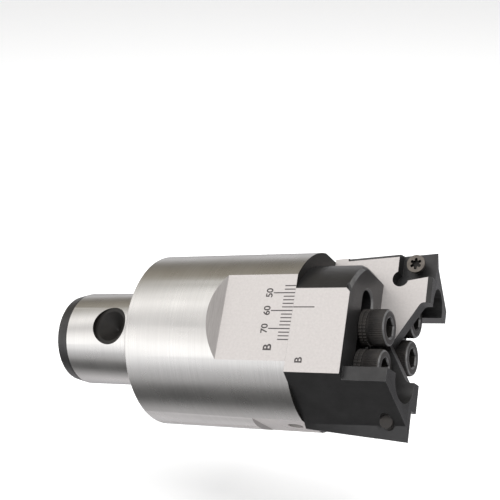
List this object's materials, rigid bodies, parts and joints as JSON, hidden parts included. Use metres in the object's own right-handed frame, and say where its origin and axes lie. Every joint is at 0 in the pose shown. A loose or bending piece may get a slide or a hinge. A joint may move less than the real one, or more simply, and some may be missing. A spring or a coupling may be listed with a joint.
{
  "type": "twin-cutter rough boring head",
  "caption": "Modular rough boring head: two cartridges slide across a round body, each set by its own screw and clamped by cap screws, with a spigot and floating drive pin behind.",
  "frame": {"origin": "spigot axis in the plane of the flange face behind the body", "axes": "+Z along the tool axis from the spigot to the cutting end; +X out of the scale flat of cartridge B; +Y the way cartridge B's edge faces"},
  "size_m": [0.05, 0.0552, 0.1128],
  "materials": {
    "ground_steel": "ground, satin",
    "black_oxide": "black oxide, satin",
    "screw_black": "black oxide, oiled",
    "bright_steel": "turned, semi-bright"
  },
  "bodies": {
    "head": {"head_body": "ground_steel", "pin_retainer": "screw_black", "clamp_screw_inner_a": "screw_black", "clamp_screw_inner_b": "screw_black", "clamp_screw_outer_a": "screw_black", "clamp_screw_outer_b": "screw_black", "lock_washer_inner_a": "screw_black", "lock_washer_inner_b": "screw_black", "lock_washer_outer_a": "screw_black", "lock_washer_outer_b": "screw_black", "retaining_ring_a": "screw_black", "retaining_ring_b": "screw_black"},
    "cartridge_b": {"cartridge_b": "black_oxide", "adjusting_nut_b": "bright_steel", "insert_screw_b": "bright_steel"},
    "cartridge_a": {"cartridge_a": "black_oxide", "adjusting_nut_a": "bright_steel", "insert_screw_a": "bright_steel"},
    "adjusting_screw_b": {"adjusting_screw_b": "bright_steel"},
    "adjusting_screw_a": {"adjusting_screw_a": "bright_steel"},
    "drive_pin": {"drive_pin": "bright_steel"}
  },
  "joints": [
    {"name": "cartridge_b_slide", "type": "slide", "parent": "head", "child": "cartridge_b", "axis": [0, 1, 0], "range_m": [-0.0025, 0.006]},
    {"name": "cartridge_a_slide", "type": "slide", "parent": "head", "child": "cartridge_a", "axis": [0, -1, 0], "range_m": [-0.0025, 0.006]},
    {"name": "adjusting_screw_b_turn", "type": "hinge", "parent": "head", "child": "adjusting_screw_b", "pos_m": [0, -0.0137, 0.0454], "axis": [0, -1, 0], "range_deg": [-1800, 4320]},
    {"name": "adjusting_screw_a_turn", "type": "hinge", "parent": "head", "child": "adjusting_screw_a", "pos_m": [0, 0.0137, 0.0454], "axis": [0, 1, 0], "range_deg": [-1800, 4320]},
    {"name": "drive_pin_float", "type": "slide", "parent": "head", "child": "drive_pin", "axis": [1, 0, 0], "range_m": [-0.0005, 0.0005]}
  ],
  "couplings": [
    {"joint": "adjusting_screw_b_turn", "follows": "cartridge_b_slide", "rad_per_m": 12566},
    {"joint": "adjusting_screw_a_turn", "follows": "cartridge_a_slide", "rad_per_m": 12566}
  ]
}
